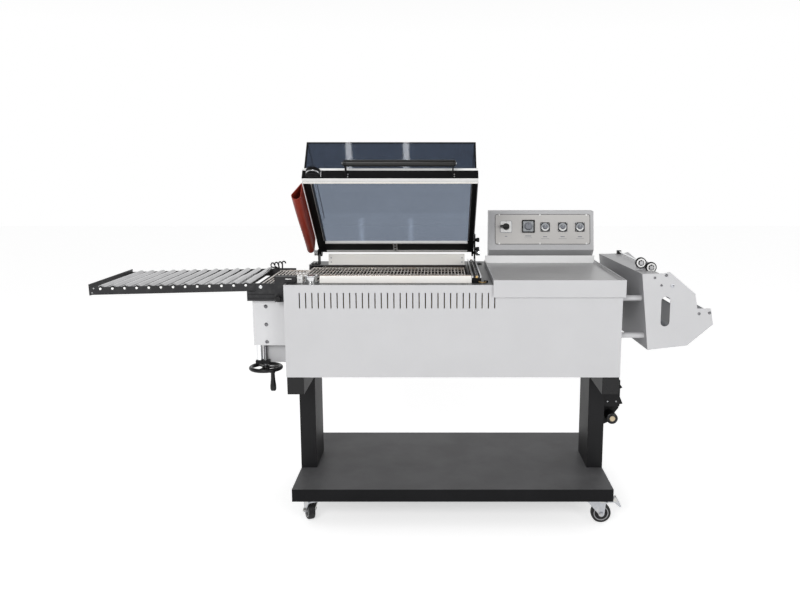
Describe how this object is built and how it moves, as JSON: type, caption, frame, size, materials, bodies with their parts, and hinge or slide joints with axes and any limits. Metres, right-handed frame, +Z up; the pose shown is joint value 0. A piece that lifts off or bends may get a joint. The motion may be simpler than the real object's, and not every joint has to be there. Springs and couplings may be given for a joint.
{
  "type": "l-bar sealing and shrink wrapping machine",
  "caption": "L-bar sealer with a heat shrink chamber under a tilting clear hood, on a wheeled stand, with a roller outfeed table, work tray, control box and film cradle.",
  "frame": {"origin": "middle of the machine's footprint, at floor level", "axes": "+X towards the film cradle (the operator's right), +Y from the operator towards the back, +Z up"},
  "size_m": [2.2454, 0.7, 1.4218],
  "materials": {
    "grey_paint": "satin powder coat",
    "black_paint": "satin powder coat",
    "charcoal_paint": "fine textured powder coat",
    "deck_grey": "satin powder coat",
    "tray_steel": "brushed",
    "cream_jaw": "satin, heat resistant",
    "bright_steel": "polished",
    "zinc": "zinc plated",
    "tub_steel": "aluminised sheet, heat stained",
    "element": "oxidised sheath",
    "motor_grey": "painted casting",
    "blower_sheet": "rolled sheet",
    "winding": "varnished laminations",
    "smoked_acrylic": "clear gloss",
    "silicone": "matt sheet",
    "mesh_steel": "bare wire",
    "black_plastic": "moulded",
    "castor_rubber": "moulded",
    "fascia_grey": "overlay",
    "dial_grey": "moulded",
    "roller_chrome": "polished tube",
    "roller_rubber": "sleeved tube",
    "wheel_white": "moulded nylon"
  },
  "bodies": {
    "machine": {"base_tray": "black_paint", "stand_frame": "charcoal_paint", "front_panel": "grey_paint", "cabinet_shell": "grey_paint", "top_deck": "deck_grey", "chamber_tub": "tub_steel", "heater_elements": "element", "fan_motor": "motor_grey", "sealing_transformer": "winding", "lower_jaws": "cream_jaw", "holding_magnet": "bright_steel", "work_tray": "tray_steel", "control_box": "grey_paint", "control_fascia": "fascia_grey", "hinge_brackets": "black_paint", "lift_guide": "grey_paint", "film_cradle": "grey_paint", "side_motor": "charcoal_paint"},
    "hood": {"hood_frame": "black_paint", "hood_glazing": "smoked_acrylic", "hood_handle": "black_plastic"},
    "curtain": {"exit_curtain": "silicone"},
    "carriage": {"lift_carriage": "charcoal_paint", "mesh_platform": "mesh_steel"},
    "handwheel_and_screw": {"handwheel": "black_plastic"},
    "grip": {"crank_grip": "black_plastic"},
    "table": {"table_frame": "charcoal_paint"},
    "blower": {"blower_wheel": "blower_sheet"},
    "switch_knob": {"main_switch": "black_plastic"},
    "temperature_knob": {"temperature_dial": "dial_grey"},
    "table_roller_1": {"table_roller_1": "roller_chrome"},
    "table_roller_2": {"table_roller_2": "roller_chrome"},
    "table_roller_3": {"table_roller_3": "roller_chrome"},
    "table_roller_4": {"table_roller_4": "roller_chrome"},
    "table_roller_5": {"table_roller_5": "roller_chrome"},
    "table_roller_6": {"table_roller_6": "roller_chrome"},
    "table_roller_7": {"table_roller_7": "roller_chrome"},
    "table_roller_8": {"table_roller_8": "roller_chrome"},
    "table_roller_9": {"table_roller_9": "roller_chrome"},
    "table_roller_10": {"table_roller_10": "roller_chrome"},
    "table_roller_11": {"table_roller_11": "roller_chrome"},
    "table_roller_12": {"table_roller_12": "roller_chrome"},
    "table_roller_13": {"table_roller_13": "roller_chrome"},
    "timer_knob_1": {"timer_dial_1": "dial_grey"},
    "timer_knob_2": {"timer_dial_2": "dial_grey"},
    "timer_knob_3": {"timer_dial_3": "dial_grey"},
    "film_roller_1": {"cradle_roller_1": "roller_rubber"},
    "film_roller_2": {"cradle_roller_2": "roller_rubber"},
    "film_wheel_1_body": {"film_wheel_1": "wheel_white"},
    "film_wheel_2_body": {"film_wheel_2": "wheel_white"},
    "fork_front_left": {"castor_fork_front_left": "zinc"},
    "wheel_front_left": {"castor_wheel_front_left": "castor_rubber"},
    "pedal_left": {"brake_pedal_left": "zinc"},
    "fork_front_right": {"castor_fork_front_right": "zinc"},
    "wheel_front_right": {"castor_wheel_front_right": "castor_rubber"},
    "pedal_right": {"brake_pedal_right": "zinc"},
    "fork_rear_left": {"castor_fork_rear_left": "zinc"},
    "wheel_rear_left": {"castor_wheel_rear_left": "castor_rubber"},
    "fork_rear_right": {"castor_fork_rear_right": "zinc"},
    "wheel_rear_right": {"castor_wheel_rear_right": "castor_rubber"}
  },
  "joints": [
    {"name": "hood_hinge", "type": "hinge", "parent": "machine", "child": "hood", "pos_m": [-0.03431, 0.254, 0.969], "axis": [1, 0, 0], "range_deg": [0, 38.4], "stiffness_Nm_per_rad": 25, "springref_deg": -103.13},
    {"name": "curtain_flex", "type": "hinge", "parent": "hood", "child": "curtain", "pos_m": [-0.35981, -0.01469, 1.15644], "axis": [0, 0.7837, -0.6211], "range_deg": [0, 106]},
    {"name": "lift", "type": "slide", "parent": "machine", "child": "carriage", "axis": [0, 0, 1], "range_m": [0, 0.022]},
    {"name": "handwheel_turn", "type": "hinge", "parent": "machine", "child": "handwheel_and_screw", "pos_m": [-0.49931, -0.235, 0.595], "axis": [0, 0, 1], "range_deg": [-793, 0]},
    {"name": "crank_grip_spin", "type": "hinge", "parent": "handwheel_and_screw", "child": "grip", "pos_m": [-0.46631, -0.275, 0.55], "axis": [0, 0, 1], "continuous": true},
    {"name": "table_fold", "type": "hinge", "parent": "carriage", "child": "table", "pos_m": [-0.49831, -0.063, 0.905], "axis": [0, 1, 0], "range_deg": [0, 80]},
    {"name": "table_roller_1_spin", "type": "hinge", "parent": "table", "child": "table_roller_1", "pos_m": [-0.55344, -0.063, 0.90965], "axis": [0, 1, 0], "continuous": true},
    {"name": "table_roller_2_spin", "type": "hinge", "parent": "table", "child": "table_roller_2", "pos_m": [-0.59733, -0.063, 0.90858], "axis": [0, 1, 0], "continuous": true},
    {"name": "table_roller_3_spin", "type": "hinge", "parent": "table", "child": "table_roller_3", "pos_m": [-0.64122, -0.063, 0.90751], "axis": [0, 1, 0], "continuous": true},
    {"name": "table_roller_4_spin", "type": "hinge", "parent": "table", "child": "table_roller_4", "pos_m": [-0.6851, -0.063, 0.90644], "axis": [0, 1, 0], "continuous": true},
    {"name": "table_roller_5_spin", "type": "hinge", "parent": "table", "child": "table_roller_5", "pos_m": [-0.72899, -0.063, 0.90536], "axis": [0, 1, 0], "continuous": true},
    {"name": "table_roller_6_spin", "type": "hinge", "parent": "table", "child": "table_roller_6", "pos_m": [-0.77288, -0.063, 0.90429], "axis": [0, 1, 0], "continuous": true},
    {"name": "table_roller_7_spin", "type": "hinge", "parent": "table", "child": "table_roller_7", "pos_m": [-0.81676, -0.063, 0.90322], "axis": [0, 1, 0], "continuous": true},
    {"name": "table_roller_8_spin", "type": "hinge", "parent": "table", "child": "table_roller_8", "pos_m": [-0.86065, -0.063, 0.90215], "axis": [0, 1, 0], "continuous": true},
    {"name": "table_roller_9_spin", "type": "hinge", "parent": "table", "child": "table_roller_9", "pos_m": [-0.90454, -0.063, 0.90107], "axis": [0, 1, 0], "continuous": true},
    {"name": "table_roller_10_spin", "type": "hinge", "parent": "table", "child": "table_roller_10", "pos_m": [-0.94842, -0.063, 0.9], "axis": [0, 1, 0], "continuous": true},
    {"name": "table_roller_11_spin", "type": "hinge", "parent": "table", "child": "table_roller_11", "pos_m": [-0.99231, -0.063, 0.89893], "axis": [0, 1, 0], "continuous": true},
    {"name": "table_roller_12_spin", "type": "hinge", "parent": "table", "child": "table_roller_12", "pos_m": [-1.0362, -0.063, 0.89786], "axis": [0, 1, 0], "continuous": true},
    {"name": "table_roller_13_spin", "type": "hinge", "parent": "table", "child": "table_roller_13", "pos_m": [-1.08008, -0.063, 0.89678], "axis": [0, 1, 0], "continuous": true},
    {"name": "blower_spin", "type": "hinge", "parent": "machine", "child": "blower", "pos_m": [-0.04231, -0.016, 0.73], "axis": [0, 0, 1], "continuous": true},
    {"name": "main_switch_turn", "type": "hinge", "parent": "machine", "child": "switch_knob", "pos_m": [0.42819, 0.25815, 1.0784], "axis": [0, 0.9784, -0.2066], "range_deg": [0, 90]},
    {"name": "temperature_turn", "type": "hinge", "parent": "machine", "child": "temperature_knob", "pos_m": [0.52219, 0.25846, 1.07986], "axis": [0, 0.9784, -0.2066], "range_deg": [0, 300]},
    {"name": "timer_1_turn", "type": "hinge", "parent": "machine", "child": "timer_knob_1", "pos_m": [0.59319, 0.25784, 1.07693], "axis": [0, 0.9784, -0.2066], "range_deg": [0, 270]},
    {"name": "timer_2_turn", "type": "hinge", "parent": "machine", "child": "timer_knob_2", "pos_m": [0.66719, 0.25784, 1.07693], "axis": [0, 0.9784, -0.2066], "range_deg": [0, 270]},
    {"name": "timer_3_turn", "type": "hinge", "parent": "machine", "child": "timer_knob_3", "pos_m": [0.74019, 0.25784, 1.07693], "axis": [0, 0.9784, -0.2066], "range_deg": [0, 270]},
    {"name": "film_roller_1_spin", "type": "hinge", "parent": "machine", "child": "film_roller_1", "pos_m": [1.08869, -0.014, 0.815], "axis": [0, 1, 0], "continuous": true},
    {"name": "film_roller_2_spin", "type": "hinge", "parent": "machine", "child": "film_roller_2", "pos_m": [0.99569, -0.014, 0.738], "axis": [0, 1, 0], "continuous": true},
    {"name": "film_wheel_1_spin", "type": "hinge", "parent": "machine", "child": "film_wheel_1_body", "pos_m": [0.87969, -0.234, 0.987], "axis": [0, 1, 0], "continuous": true},
    {"name": "film_wheel_2_spin", "type": "hinge", "parent": "machine", "child": "film_wheel_2_body", "pos_m": [0.91769, -0.234, 0.97], "axis": [0, 1, 0], "continuous": true},
    {"name": "castor_swivel_front_left", "type": "hinge", "parent": "machine", "child": "fork_front_left", "pos_m": [-0.33831, -0.268, 0.098], "axis": [0, 0, 1], "continuous": true},
    {"name": "castor_roll_front_left", "type": "hinge", "parent": "fork_front_left", "child": "wheel_front_left", "pos_m": [-0.35057, -0.24172, 0.0375], "axis": [-0.9063, -0.4226, 0], "continuous": true},
    {"name": "brake_pedal_left_turn", "type": "hinge", "parent": "fork_front_left", "child": "pedal_left", "pos_m": [-0.3586, -0.2245, 0.082], "axis": [-0.9063, -0.4226, 0], "range_deg": [0, 15]},
    {"name": "castor_swivel_front_right", "type": "hinge", "parent": "machine", "child": "fork_front_right", "pos_m": [0.72969, -0.268, 0.098], "axis": [0, 0, 1], "continuous": true},
    {"name": "castor_roll_front_right", "type": "hinge", "parent": "fork_front_right", "child": "wheel_front_right", "pos_m": [0.75869, -0.268, 0.0375], "axis": [0, 1, 0], "continuous": true},
    {"name": "brake_pedal_right_turn", "type": "hinge", "parent": "fork_front_right", "child": "pedal_right", "pos_m": [0.77769, -0.268, 0.082], "axis": [0, 1, 0], "range_deg": [0, 15]},
    {"name": "castor_swivel_rear_left", "type": "hinge", "parent": "machine", "child": "fork_rear_left", "pos_m": [-0.33831, 0.251, 0.098], "axis": [0, 0, 1], "continuous": true},
    {"name": "castor_roll_rear_left", "type": "hinge", "parent": "fork_rear_left", "child": "wheel_rear_left", "pos_m": [-0.36556, 0.24108, 0.0375], "axis": [0.342, -0.9397, 0], "continuous": true},
    {"name": "castor_swivel_rear_right", "type": "hinge", "parent": "machine", "child": "fork_rear_right", "pos_m": [0.72969, 0.251, 0.098], "axis": [0, 0, 1], "continuous": true},
    {"name": "castor_roll_rear_right", "type": "hinge", "parent": "fork_rear_right", "child": "wheel_rear_right", "pos_m": [0.7519, 0.26964, 0.0375], "axis": [-0.6428, 0.766, 0], "continuous": true}
  ],
  "couplings": [
    {"joint": "handwheel_turn", "follows": "lift", "rad_per_m": -628.32},
    {"joint": "curtain_flex", "follows": "hood_hinge", "ratio": 2.734}
  ]
}
